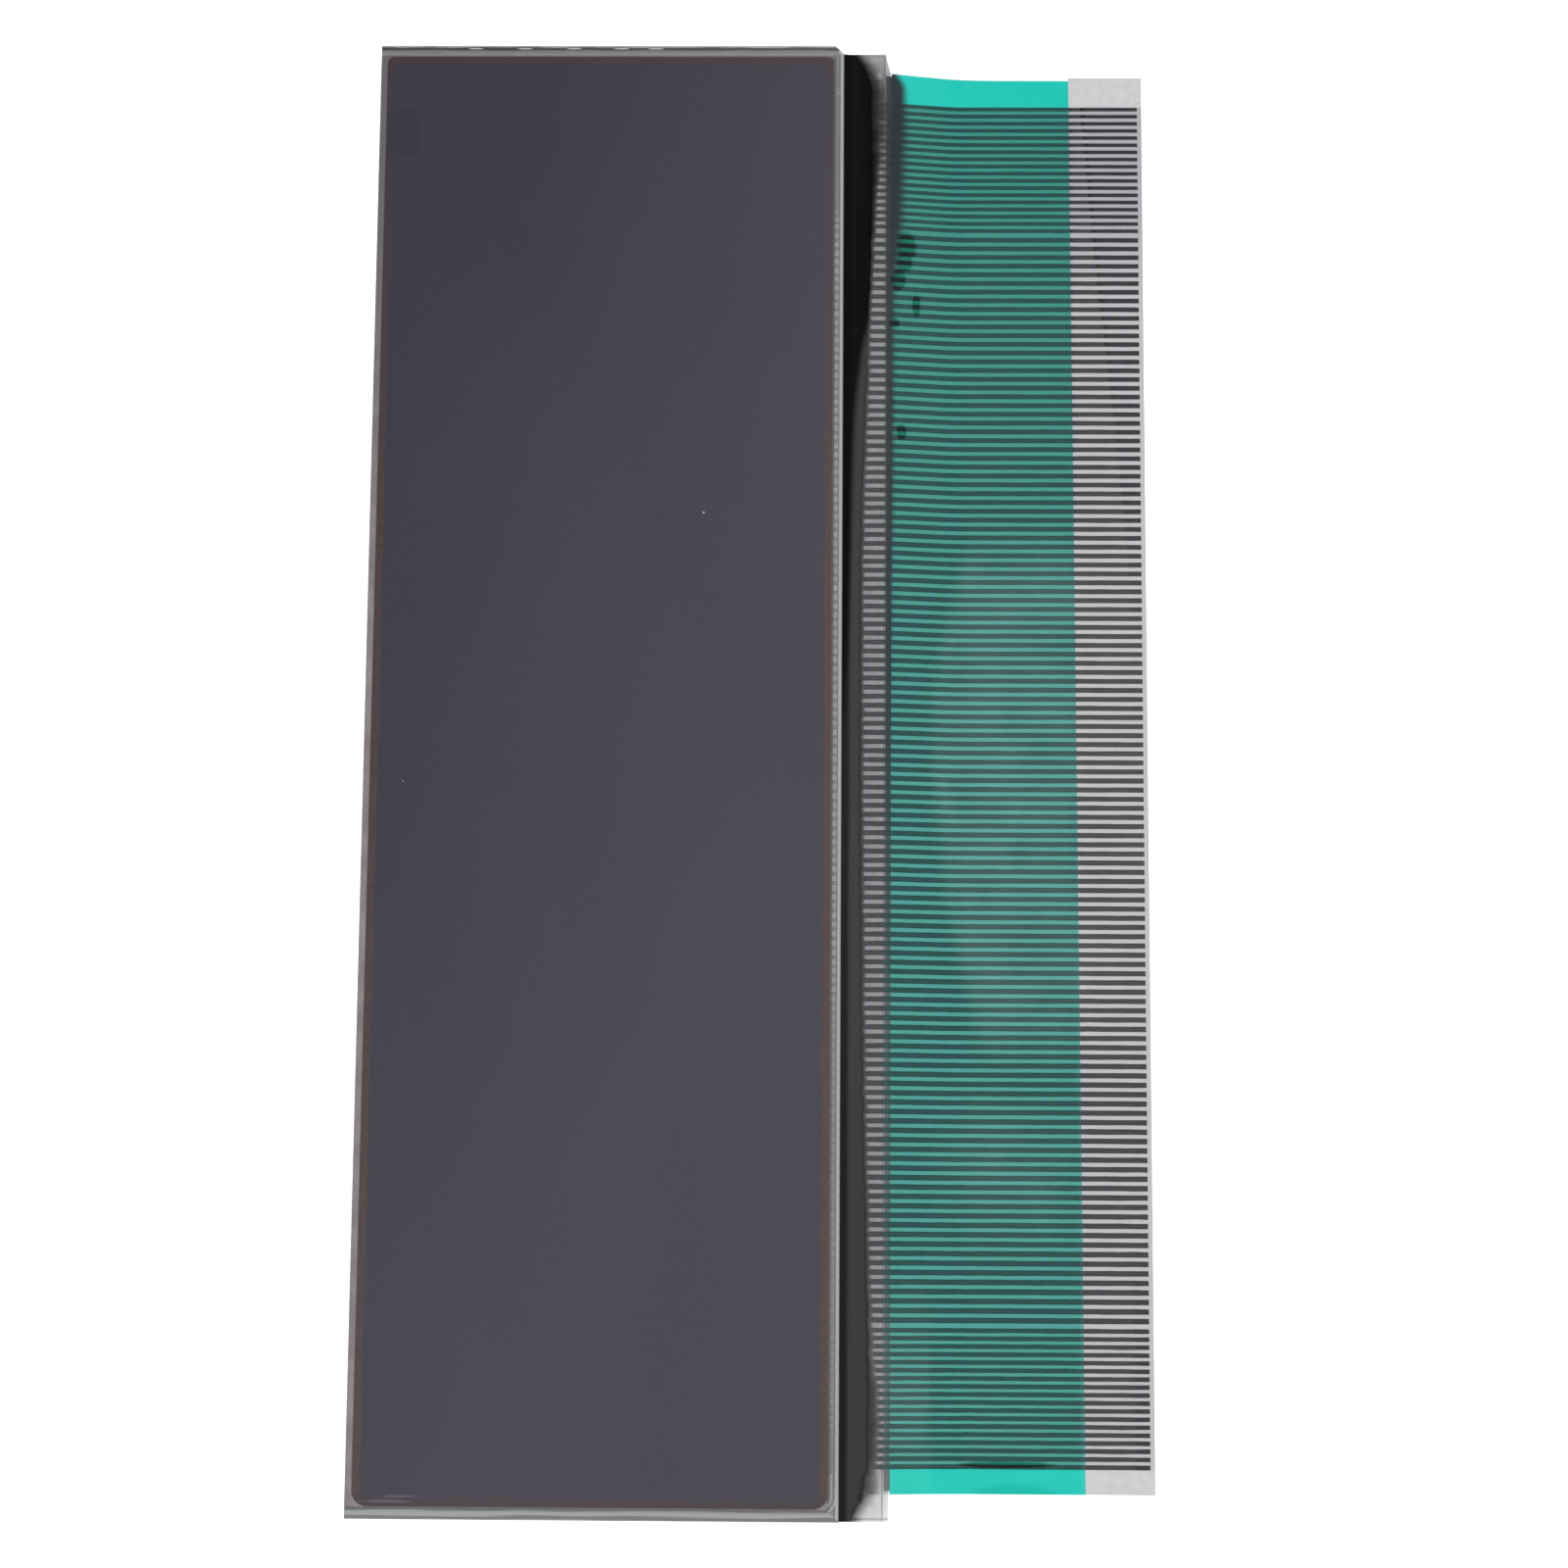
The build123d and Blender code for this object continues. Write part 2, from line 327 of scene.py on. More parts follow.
# %% A ragged spot
SPOT_OUTER, SPOT_INNER, SPOT_NOISE, ANY_HEIGHT = 1.1, 0.75, 2.2, 100
spot_group, start, end = new_group(
    "spot", [("Place", VECTOR), ("Centre", VECTOR), ("Size", VECTOR), ("Ragged", FLOAT)], [("Mask", FLOAT)]
)
away = add(spot_group, "ShaderNodeVectorMath", operation="SUBTRACT")
shape = add(spot_group, "ShaderNodeVectorMath", operation="DIVIDE")
span = add(spot_group, "ShaderNodeVectorMath", operation="LENGTH")
feed(spot_group, away.inputs[0], start.outputs["Place"])
feed(spot_group, away.inputs[1], start.outputs["Centre"])
feed(spot_group, shape.inputs[0], away.outputs[0])
feed(spot_group, shape.inputs[1], start.outputs["Size"])
feed(spot_group, span.inputs[0], shape.outputs[0])
rough = add(spot_group, "ShaderNodeTexNoise")
feed(spot_group, rough.inputs["Vector"], start.outputs["Place"])
rough.inputs["Scale"].default_value = SPOT_NOISE
shift = times(spot_group, minus(spot_group, rough.outputs[0], 0.5), start.outputs["Ragged"])
ragged_span = plus(spot_group, span.outputs["Value"], shift)
feed(spot_group, end.inputs["Mask"], ramp_of(spot_group, ragged_span, SPOT_OUTER, SPOT_INNER))


def spots(tree, place, items, ragged=1.0):
    """The strongest of several spots. Each is (x, y, half width, half length) in mm."""
    mask = 0.0
    for x, y, wide, long in items:
        sizes = {"Centre": (x, y, 0), "Size": (wide, long, ANY_HEIGHT)}
        one = use_group(tree, spot_group, Place=place.here, Ragged=ragged, **sizes)
        mask = one.outputs["Mask"] if mask == 0.0 else larger(tree, mask, one.outputs["Mask"])
    return mask


print("group:", spot_group.name)

# %% [markdown]
# The seal is a rectangle with rounded corners, and its lines run at a distance from that outline. One
# group gives this distance, less than 0 inside and more than 0 outside, so a line is a narrow range
# of it. A curve along the outline would do too, but it couldn't fade to its side.

# %% Distance from a rounded rectangle
frame_group, start, end = new_group(
    "rounded_frame",
    [(label, FLOAT) for label in ("X", "Y", "Low X", "High X", "Low Y", "High Y", "Radius")],
    [("Outside", FLOAT)],
)
beyond = []
for axis in "XY":
    low, high = start.outputs["Low " + axis], start.outputs["High " + axis]
    middle = times(frame_group, plus(frame_group, low, high), 0.5)
    half = times(frame_group, minus(frame_group, high, low), 0.5)
    off = math_of(frame_group, "ABSOLUTE", minus(frame_group, start.outputs[axis], middle))
    beyond.append(plus(frame_group, minus(frame_group, off, half), start.outputs["Radius"]))
corner = add(frame_group, "ShaderNodeCombineXYZ")
for socket, item in zip(corner.inputs, beyond):
    feed(frame_group, socket, larger(frame_group, item, 0.0))
reach = add(frame_group, "ShaderNodeVectorMath", operation="LENGTH")
feed(frame_group, reach.inputs[0], corner.outputs[0])
inner = math_of(frame_group, "MINIMUM", larger(frame_group, *beyond), 0.0)
from_core = plus(frame_group, reach.outputs["Value"], inner)
feed(frame_group, end.inputs["Outside"], minus(frame_group, from_core, start.outputs["Radius"]))


def outside(tree, place, low, high, radius):
    """How far, in mm, a point is outside a rounded rectangle. Inside is less than 0."""
    node = use_group(
        tree, frame_group, X=place.x, Y=place.y,
        Low_X=low[0], High_X=high[0], Low_Y=low[1], High_Y=high[1], Radius=radius,
    )
    return node.outputs["Outside"]


print("group:", frame_group.name)

# %% [markdown]
# Each material starts alike: one shader with a roughness, and the place on the object for the masks to
# read. Tops, walls and undersides of a piece often differ, and the direction of a face tells them
# apart without cutting the piece up.

# %% Starting a material
Place = namedtuple("Place", "here x y")


def new_material(name, roughness, ior=1.5):
    material = bpy.data.materials.new(name)
    material.use_nodes = True
    tree = material.node_tree
    shader = tree.nodes["Principled BSDF"]
    shader.inputs["Roughness"].default_value = roughness
    shader.inputs["IOR"].default_value = ior
    return material, tree, shader, Place(*use_group(tree, place_group).outputs)


def looks_up(tree):
    """How far a face looks up, 1 for a top, 0 for a wall, -1 for an underside."""
    coordinates = add(tree, "ShaderNodeTexCoord")
    parts = add(tree, "ShaderNodeSeparateXYZ")
    tree.links.new(coordinates.outputs["Normal"], parts.inputs[0])
    return parts.outputs["Z"]


def is_wall(tree):
    """1 on faces that stand upright, 0 on those that lie flat."""
    return ramp_of(tree, math_of(tree, "ABSOLUTE", looks_up(tree)), 0.6, 0.4)


def dress(node, material):
    """Gives a CAD node its material, in every slot that it has."""
    data = nodes[node].data
    if not data.materials:
        data.materials.append(material)
    for index in range(len(data.materials)):
        data.materials[index] = material
    print(node, "has", material.name)


print("node groups:", [group.name for group in bpy.data.node_groups])

# %% [markdown]
# The light has to do two things at once. The floor must come out nearly white, so the room is bright
# at the sides. The dark glossy screen mirrors what is straight above it, so there the room is dim,
# with one softer patch whose edge gives the screen its slow change of tone. One world shader with
# both parts is smoother than several lamps, and it leaves no hard shadow.

# %% Light
ROOM, CEILING, PATCH = 1.85, 0.07, 0.62

scene.view_settings.view_transform = "Standard"
world = bpy.data.worlds.new("studio")
world.use_nodes = True
scene.world = world
sky = world.node_tree
direction = sky.nodes.new("ShaderNodeTexCoord")
split = sky.nodes.new("ShaderNodeSeparateXYZ")
sky.links.new(direction.outputs["Generated"], split.inputs[0])
sky_x, sky_y, sky_z = split.outputs
slant = minus(sky, sky_y, times(sky, sky_x, 2.2))
patch = times(sky, ramp_of(sky, slant, 0.66, 0.16), ramp_of(sky, sky_x, 0.085, 0.02, 0.3, 1.0))
ceiling = plus(sky, times(sky, patch, PATCH), CEILING)
overhead = ramp_of(sky, sky_z, 0.72, 0.93)
background = sky.nodes["Background"]
background.inputs["Color"].default_value = (1.0, 1.0, 1.0, 1.0)
feed(sky, background.inputs["Strength"], blend_of(sky, overhead, ROOM, ceiling))
print("world nodes:", len(sky.nodes))

# %% [markdown]
# The polariser is a dark grey plastic film with a faintly matt skin. Real layers under a see-through
# film would need many more light bounces, so the film is opaque here and carries what shows through
# it. It starts with its own grey, which a wide and a fine noise make a little uneven.

# %% Front polariser
polariser, tree, shader, place = new_material("polariser", 0.10, 1.55)
wide = mottle(tree, stretched(tree, place.here, 1.0, 0.5, 1.0), 0.07, 2.0)
fine = mottle(tree, place.here, 2.5, 5.0)
wander = mottle(tree, place.here, 0.5, 2.0)
face = mix_of(tree, wide, (0.0325, 0.0315, 0.0445), (0.0365, 0.0350, 0.0485))
face = mix_of(tree, times(tree, fine, 0.10), face, (0.022, 0.021, 0.036))
print("polariser nodes:", len(tree.nodes))

# %% [markdown]
# The seal is a line of brown epoxy, with rounded corners, that shows through the rim of the film.
# Outside it there is no liquid crystal behind the film, and its paler mauve there is the film's tint
# with painted light from the floor that shines through. Both are ranges of the distance from one
# rounded rectangle. The line wanders a little, because it was squeezed flat between the plates, and
# its brown differs from side to side.

# %% Seal line under the film
SEAL_INNER, SEAL_OUTER = -0.56, -0.33
seal_low = (polariser_low[0] + 0.41, polariser_low[1] + 0.02)
seal_high = (polariser_high[0] + 0.06, polariser_high[1] - 0.07)
corner_radius = ramp_of(tree, place.y, 20.0, 44.0, 1.0, 0.45)
gap = outside(tree, place, seal_low, seal_high, corner_radius)
edge = plus(tree, gap, times(tree, wander, 0.10))
far_part = ramp_of(tree, place.y, 12.0, 42.0)
rust = mix_of(tree, fine, (0.047, 0.034, 0.033), (0.060, 0.041, 0.039))
right_rust = mix_of(tree, fine, (0.056, 0.032, 0.030), (0.066, 0.036, 0.031))
rust = mix_of(tree, ramp_of(tree, place.x, -22.0, 0.0), rust, right_rust)
rust = mix_of(tree, far_part, rust, (0.040, 0.033, 0.041))
rust = mix_of(tree, ramp_of(tree, place.y, 46.3, 46.9), rust, (0.047, 0.031, 0.034))
rust = mix_of(tree, ramp_of(tree, place.y, -46.6, -47.2), rust, (0.041, 0.030, 0.034))
face = mix_of(tree, ramp_of(tree, edge, SEAL_INNER, SEAL_OUTER), face, rust)
# painted light from the floor shining through the film outside the seal, dimmer at the far end
pale_backlight = mix_of(tree, wander, (0.155, 0.135, 0.142), (0.205, 0.185, 0.19))
pale_backlight = mix_of(tree, far_part, pale_backlight, (0.105, 0.10, 0.11))
face = mix_of(tree, ramp_of(tree, gap, -0.04, 0.06), face, pale_backlight)
print("seal line from", [round(v, 2) for v in seal_low], "to", [round(v, 2) for v in seal_high])

# %% [markdown]
# A handled display has a few faint smudges, a darker block near its far left corner, a smear of resin
# at the near left one and a speck or two of dust. They have no height worth modelling, so they are
# spots in the colour. The skin is a bump of about a micrometre, which blurs what the film mirrors.

# %% Marks and skin of the film
SMUDGES = [(-14.6, 34.2, 2.6, 1.6), (-5.3, 15.9, 1.6, 1.1), (1.6, -25.2, 0.9, 0.7), (-22.6, 9.9, 0.3, 0.3)]
SMEAR = [(-23.0, -47.35, 1.6, 0.12), (-21.9, -47.05, 1.3, 0.08)]
SPECKS = [(-3.57, 16.32, 0.055, 0.055), (-22.9, -1.6, 0.03, 0.03)]
SKIN_DEPTH = 0.0000012

block = times(tree, window(tree, place.x, -25.0, -22.8, 0.05), window(tree, place.y, 40.6, 44.0, 0.05))
darker = larger(tree, block, times(tree, spots(tree, place, SMUDGES, 1.6), 0.6))
face = mix_of(tree, times(tree, darker, 0.35), face, (0.024, 0.025, 0.042))
face = mix_of(tree, times(tree, spots(tree, place, SMEAR, 1.5), 0.38), face, (0.13, 0.12, 0.14))
face = mix_of(tree, spots(tree, place, SPECKS, 0.0), face, (0.55, 0.56, 0.60))
feed(tree, shader.inputs["Base Color"], face)
skin = add(tree, "ShaderNodeBump")
skin.inputs["Distance"].default_value = SKIN_DEPTH
feed(tree, skin.inputs["Height"], mottle(tree, place.here, 7.0, 3.0))
feed(tree, shader.inputs["Normal"], skin.outputs["Normal"])
dress("front_polariser", polariser)

# %% [markdown]
# The rear polariser is the same film under the rear plate. From above it shows only through the clear
# rim of the glass, as a paler mauve: its tint with painted light from the floor that shines through
# it. Its underside keeps the dark grey of the film. Two materials would need the piece cut in two, so
# the direction of the face picks the colour.

# %% Rear polariser
backing, tree, shader, place = new_material("rear_polariser", 0.24, 1.55)
wide = mottle(tree, place.here, 0.09, 3.0)
# painted light from the floor shining through the film, on the top face only
backlit_top = mix_of(tree, wide, (0.12, 0.105, 0.12), (0.17, 0.15, 0.165))
below = mix_of(tree, wide, (0.022, 0.022, 0.03), (0.03, 0.03, 0.038))
from_below = ramp_of(tree, looks_up(tree), -0.4, -0.6)
feed(tree, shader.inputs["Base Color"], mix_of(tree, from_below, backlit_top, below))
dress("rear_polariser", backing)

# %% [markdown]
# Between the plates lies the liquid crystal, a few micrometres thick, and a frame of epoxy keeps it
# in. The polarisers hide the first, and only the edge of the second shows between the plates. So
# each has one plain colour that a noise makes uneven, and a helper makes all such materials.

# %% Liquid crystal and seal
def plain(name, low, high, roughness, alpha=1.0, scale=2.0, detail=4.0):
    """A material of one colour, uneven between low and high."""
    material, tree, shader, place = new_material(name, roughness)
    speckle = mottle(tree, place.here, scale, detail)
    feed(tree, shader.inputs["Base Color"], mix_of(tree, speckle, low, high))
    shader.inputs["Alpha"].default_value = alpha
    return material


crystal = plain("liquid_crystal", (0.012, 0.012, 0.016), (0.02, 0.02, 0.026), 0.3, scale=0.12, detail=3.0)
dress("liquid_crystal", crystal)
dress("perimeter_seal", plain("seal_epoxy", (0.16, 0.12, 0.105), (0.23, 0.18, 0.16), 0.6, scale=4.0))

# %% [markdown]
# The plates are cut by scoring and snapping, so their edges are broken glass: flat in the middle, with
# fine ripples and shell-shaped flakes, and they throw bright and dark lines into the clear rim. Real
# refraction would need many bounces and a very fine mesh. Here a row of tones over the distance from
# each edge paints these lines as light and shade, and a drawn-out noise breaks them up. The flakes
# at the far edge are painted highlights.

# %% Broken edges of glass
FAR_TONES = [
    (0, 0.40), (0.09, 0.34), (0.17, 0.10), (0.25, 0.028), (0.33, 0.035), (0.40, 0.15), (0.52, 0.17),
    (0.66, 0.24), (0.8, 0.20), (0.9, 0.16),
]
NEAR_TONES = [
    (0, 0.26), (0.05, 0.13), (0.19, 0.12), (0.26, 0.20), (0.36, 0.28), (0.5, 0.27), (0.58, 0.20),
    (0.63, 0.11), (0.78, 0.10), (0.9, 0.10),
]
RIGHT_TONES = [
    (0, 0.02), (0.04, 0.14), (0.09, 0.33), (0.22, 0.31), (0.29, 0.18), (0.38, 0.27), (0.5, 0.27),
    (0.58, 0.16), (0.9, 0.13),
]
FLAKE_GLINTS_X, FLAKE_INSET, FLAKE_SIZE = (-19.2, -15.9, -12.6, -9.4, -7.1), 0.21, (0.55, 0.05)


def glass_rim(tree, place, near, far, right):
    """The painted light and shade of the clear rim, a mask of its near and far ends, and the distance from
    the right.
    """
    ripple = mottle(tree, stretched(tree, place.here, 0.55, 6.0, 1.0), 1.0, 4.0)
    facet = mottle(tree, stretched(tree, place.here, 0.16, 5.0, 1.0), 1.0, 2.0)
    from_far = minus(tree, far, place.y)
    from_near = minus(tree, place.y, near)
    from_right = minus(tree, right, place.x)
    far_tone = curve_of(tree, plus(tree, from_far, times(tree, ripple, 0.07)), FAR_TONES)
    # painted highlights that flakes of the far edge throw into the rim
    flake_highlights = spots(tree, place, [(x, far - FLAKE_INSET, *FLAKE_SIZE) for x in FLAKE_GLINTS_X], 0.3)
    far_tone = plus(tree, far_tone, times(tree, flake_highlights, 0.35))
    bent = plus(tree, from_near, times(tree, minus(tree, facet, 0.5), 0.12))
    near_tone = curve_of(tree, bent, NEAR_TONES)
    right_tone = curve_of(tree, from_right, RIGHT_TONES)
    at_near = ramp_of(tree, minus(tree, from_near, from_right), 0.05, -0.05)
    at_far = ramp_of(tree, minus(tree, from_far, from_right), 0.05, -0.05)
    tone = blend_of(tree, at_far, blend_of(tree, at_near, right_tone, near_tone), far_tone)
    return tone, larger(tree, at_near, at_far), from_right


def broken_wall(tree, place):
    """Colour of a snapped edge, drawn out along the plate."""
    streaks = mottle(tree, stretched(tree, place.here, 0.6, 0.6, 7.0), 1.0, 4.0)
    return mix_of(tree, streaks, (0.16, 0.18, 0.175), (0.48, 0.53, 0.52))


print("tones of the rim:", len(FAR_TONES), len(NEAR_TONES), len(RIGHT_TONES))

# %% [markdown]
# The front plate carries the polariser, and only a narrow rim of it is clear. The painted light and
# shade of its edges is laid on that rim, with a painted highlight along the right edge, and the
# snapped walls get their own streaky colour. Under the polariser its alpha is 0, because a see-through
# layer that adds nothing only costs bounces.

# %% Front glass
WALL_ALPHA = 0.8

front, tree, shader, place = new_material("front_glass", 0.08, 1.9)
wall = is_wall(tree)
top = ramp_of(tree, looks_up(tree), 0.4, 0.6)
tone, ends, from_right = glass_rim(tree, place, front_low[1], front_high[1], front_high[0])
clear = tinted(tree, tone, red=0.97, blue=0.99)
feed(tree, shader.inputs["Base Color"], mix_of(tree, wall, clear, broken_wall(tree, place)))
# a painted highlight along the right edge, made opaque enough to show
edge_highlight = window(tree, from_right, 0.0, 0.26, 0.03)
cover = larger(tree, times(tree, ends, 0.92), times(tree, edge_highlight, 0.85))
cover = larger(tree, cover, 0.50)
bare_rim = ramp_of(tree, outside(tree, place, polariser_low, polariser_high, 0.001), -0.01, 0.0)
cover = both(tree, bare_rim, top, cover)
feed(tree, shader.inputs["Alpha"], plus(tree, cover, times(tree, wall, WALL_ALPHA)))
dress("front_glass", front)

# %% [markdown]
# A bead of dark resin seals the step between the front plate and the root of the ribbon. It has crept
# over the ledge, furthest near the two ends, and thinned out to a soft toe. The glass, the film and
# the resin all show it, so its reach and its softness are stated once, as lines over the length of
# the ledge. A modelled toe alone would end in a hard edge.

# %% How far the dark resin has crept
GROUND_EDGE = 0.3
STEP_X, LEDGE_FLAT_X = front_high[0], rear_high[0] - GROUND_EDGE
CREEP = [
    (-48.4, 0.90), (-47.7, 1.25), (-46.8, 1.68), (-45.8, 1.80), (-44.5, 2.12), (-42.1, 2.27),
    (-38.5, 1.99), (-33.4, 1.80), (-24.0, 1.55), (-14.6, 1.38), (-1.5, 1.27), (11.0, 1.24),
    (18.1, 1.33), (22.1, 1.48), (29.9, 1.72), (35.0, 1.92), (38.6, 2.10), (41.8, 2.20), (44.2, 2.20),
    (45.7, 2.0), (46.6, 1.75), (47.5, 1.45), (48.2, 0.95),
]
CREEP_SOFT = [
    (-48.4, 0.70), (-46.8, 0.95), (-45.8, 0.85), (-44.5, 0.50), (-42.2, 0.48), (-36.1, 0.38),
    (-26.8, 0.35), (-1.5, 0.33), (18.1, 0.30), (34.2, 0.30), (38.2, 0.35), (41.7, 0.60), (43.7, 0.85),
    (45.8, 1.0), (47.0, 0.90), (48.2, 0.70),
]


def on_ledge(tree, place):
    """1 on the flat of the ledge, 0 past its ground edge."""
    return ramp_of(tree, place.x, LEDGE_FLAT_X + 0.05, LEDGE_FLAT_X - 0.05)


def resin_shade(tree, place):
    """How dark the resin makes the ledge."""
    past = minus(tree, place.x, STEP_X)
    soft = curve_of(tree, place.y, CREEP_SOFT)
    feather = mottle(tree, stretched(tree, place.here, 0.4, 1.0, 1.0), 1.1, 2.0)
    uneven = times(tree, minus(tree, feather, 0.5), times(tree, soft, 0.35))
    beyond = minus(tree, minus(tree, past, curve_of(tree, place.y, CREEP)), uneven)
    clear_part = ramp_of(tree, math_of(tree, "DIVIDE", beyond, soft), -1.0, 1.0)
    return times(tree, inverse(tree, times(tree, clear_part, clear_part)), on_ledge(tree, place))


print("the step is at x =", round(STEP_X, 2), "and the ledge is flat to", round(LEDGE_FLAT_X, 2), "mm")

# %% [markdown]
# The resin is nearly black. Its dark grey in the near part is a painted reflection, and the fine pale
# lines beside the front plate are painted highlights on the resin where it meets the glass. So its
# tone is a row of tones across the step, made darker inside a reach that grows towards the far end.

# %% Colour and painted sheen of the dark resin
STEP_SHEEN = [
    (0, 0.008), (0.13, 0.013), (0.26, 0.011), (0.39, 0.016), (0.5, 0.026), (0.62, 0.037),
    (0.75, 0.039), (1.2, 0.038), (2.0, 0.037), (3.0, 0.034),
]
BLACK_REACH = [
    (-48.4, 0.0), (-5.0, 0.0), (2.0, 0.3), (6.0, 0.55), (11.0, 0.73), (22.0, 1.02), (26.0, 1.35),
    (30.0, 2.1), (34.0, 3.2), (48.4, 3.2),
]


def resin_colour_and_sheen(tree, place):
    past = minus(tree, place.x, STEP_X)
    black = ramp_of(tree, minus(tree, past, curve_of(tree, place.y, BLACK_REACH)), 0.03, -0.53)
    # painted highlights and a painted reflection across the step, taken away where the resin is black
    tone = times(tree, curve_of(tree, past, STEP_SHEEN), inverse(tree, times(tree, black, 0.90)))
    tone = times(tree, tone, ramp_of(tree, place.y, -14.0, -30.0, 1.0, 0.86))
    return tinted(tree, tone, green=1.02, blue=1.06)


print("darkest and palest tone of the resin:", STEP_SHEEN[0][1], STEP_SHEEN[6][1])

# %% [markdown]
# The ledge of the rear plate is bare glass at its two ends, past the ribbon. There a dark line runs
# along its edge, which is painted shade that the ground edge throws into the glass, and the dark resin
# shades it. The gloss is a coat that fades under the resin. One glossy surface for all would leave a
# grey band where the glass is only partly shaded.

# %% Rear glass
UNDER_STEP = 0.75

rear, tree, shader, place = new_material("rear_glass", 0.08, 1.15)
shader.inputs["Coat IOR"].default_value = 1.9
shader.inputs["Coat Roughness"].default_value = 0.08
wall = is_wall(tree)
bare = ramp_of(tree, place.x, STEP_X - UNDER_STEP, STEP_X - UNDER_STEP + 0.01)
from_near = minus(tree, place.y, rear_low[1])
from_edge = minus(tree, rear_high[0], place.x)
# painted shade: dark lines that the ground edges throw into the glass
line = larger(tree, window(tree, from_near, 0.10, 0.22, 0.03), window(tree, from_edge, 0.34, 0.42, 0.02))
haze = mottle(tree, stretched(tree, place.here, 2.0, 0.5, 1.0), 0.8, 4.0)
far_end = ramp_of(tree, place.y, 30.0, 45.0)
clear = mix_of(tree, haze, (0.40, 0.39, 0.40), (0.50, 0.49, 0.50))
clear = mix_of(tree, far_end, clear, (0.17, 0.165, 0.17))
clear = mix_of(tree, line, clear, (0.10, 0.10, 0.105))
shade = resin_shade(tree, place)
unshaded = inverse(tree, shade)
clear = mix_of(tree, shade, clear, resin_colour_and_sheen(tree, place))
feed(tree, shader.inputs["Base Color"], mix_of(tree, wall, clear, broken_wall(tree, place)))
feed(tree, shader.inputs["Coat Weight"], times(tree, unshaded, unshaded))
cover = plus(tree, times(tree, line, 0.15), plus(tree, times(tree, far_end, 0.26), 0.34))
cover = inverse(tree, times(tree, inverse(tree, cover), unshaded))
cover = both(tree, inverse(tree, wall), bare, cover)
feed(tree, shader.inputs["Alpha"], plus(tree, cover, times(tree, wall, WALL_ALPHA)))
dress("rear_glass", rear)

# %% [markdown]
# The leads are strips of a clear conductor a fraction of a micrometre thick, and on the ledge they
# can hardly be seen. Under the edge of the front plate they end in a row of pale squares, which fade
# towards the near end. The squares are a window across the strips, whose own gaps part them.

# %% Contact leads
leads, tree, shader, place = new_material("transparent_conductor", 0.4, 1.3)
square = window(tree, place.x, STEP_X - 0.60, STEP_X - 0.30, 0.03)
plain_ones = times(tree, window(tree, place.y, -17.0, 37.0, 3.0), 0.55)
faint_ones = times(tree, window(tree, place.y, -43.5, 37.0, 0.5), 0.35)
shown = times(tree, square, plus(tree, plain_ones, faint_ones))
feed(tree, shader.inputs["Base Color"], mix_of(tree, square, grey(0.30), (0.66, 0.67, 0.66)))
feed(tree, shader.inputs["Alpha"], plus(tree, shown, 0.10))
dress("contact_leads", leads)

# %% [markdown]
# Small parts join the plates and the ribbon: two tracks turn the corner of the cell, dots of paste
# lead from plate to plate, clear resin closes the filling port, and adhesive holds the ribbon's root.
# They are tiny or covered, so each has a plain colour.

# %% Tracks, dots, end seal and bond
dress("common_tracks", plain("track_conductor", (0.62, 0.63, 0.62), (0.72, 0.73, 0.72), 0.3))
dress("crossover_dots", plain("conductive_paste", grey(0.25), grey(0.4), 0.6))
dress("end_seal", plain("clear_resin", (0.50, 0.51, 0.50), (0.62, 0.62, 0.60), 0.15, alpha=0.8))
dress("bond_adhesive", plain("bond_adhesive", (0.26, 0.266, 0.278), (0.325, 0.331, 0.346), 0.4))

# %% [markdown]
# The tail of the ribbon ends in bare traces under a strip of adhesive, ready for the circuit board.
# The strip is a cloudy film. Between the traces it is more opaque and darker, with painted shade, and
# a little bluer towards the far end, and a window over the length of the row of traces keeps that
# away from the margins.

# %% Adhesive of the tail
def among_traces(tree, place):
    """1 over the length of the row of traces, 0 at the margins."""
    return window(tree, place.y, traces_low[1], traces_high[1], 0.05)


tail, tree, shader, place = new_material("tail_adhesive", 0.3)
speckle = mottle(tree, place.here, 2.0, 4.0)
among = among_traces(tree, place)
margin = mix_of(tree, speckle, (0.50, 0.49, 0.50), (0.56, 0.55, 0.56))
far_side = ramp_of(tree, place.y, 38.0, 31.0)
# painted shade between the traces, darker towards the far end
between = mix_of(tree, far_side, (0.44, 0.445, 0.47), (0.56, 0.555, 0.57))
feed(tree, shader.inputs["Base Color"], mix_of(tree, among, margin, between))
feed(tree, shader.inputs["Alpha"], plus(tree, times(tree, among, 0.25), 0.5))
dress("tail_adhesive", tail)

# %% [markdown]
# The ribbon is a clear polyester film with the traces printed on its lower side and a green lacquer
# over them. The film itself is nearly invisible and adds a gloss and a thin haze. The haze is a painted
# reflection, broad where the film bends towards the light and faint elsewhere. At the two sides, beside
# the green, a painted sheen makes up part of the gloss, and a faint dust lies on all but the far end.

# %% Haze on the film, as painted reflection, and dust
SHEEN_LEFT = [
    (-20, 15.0), (-12.7, 12.8), (-6, 11.9), (0, 11.3), (5.4, 11.5), (11.8, 12.9), (19.5, 15.3),
]
SHEEN_TONE, SIDE_SHEEN, FAINT_DUST = 0.145, 0.095, 0.03

film, tree, shader, place = new_material("clear_film", 0.06, 1.15)
cloudy = mottle(tree, stretched(tree, place.here, 1.0, 0.6, 1.0), 0.35, 3.0)
from_left = minus(tree, place.x, curve_of(tree, place.y, SHEEN_LEFT))
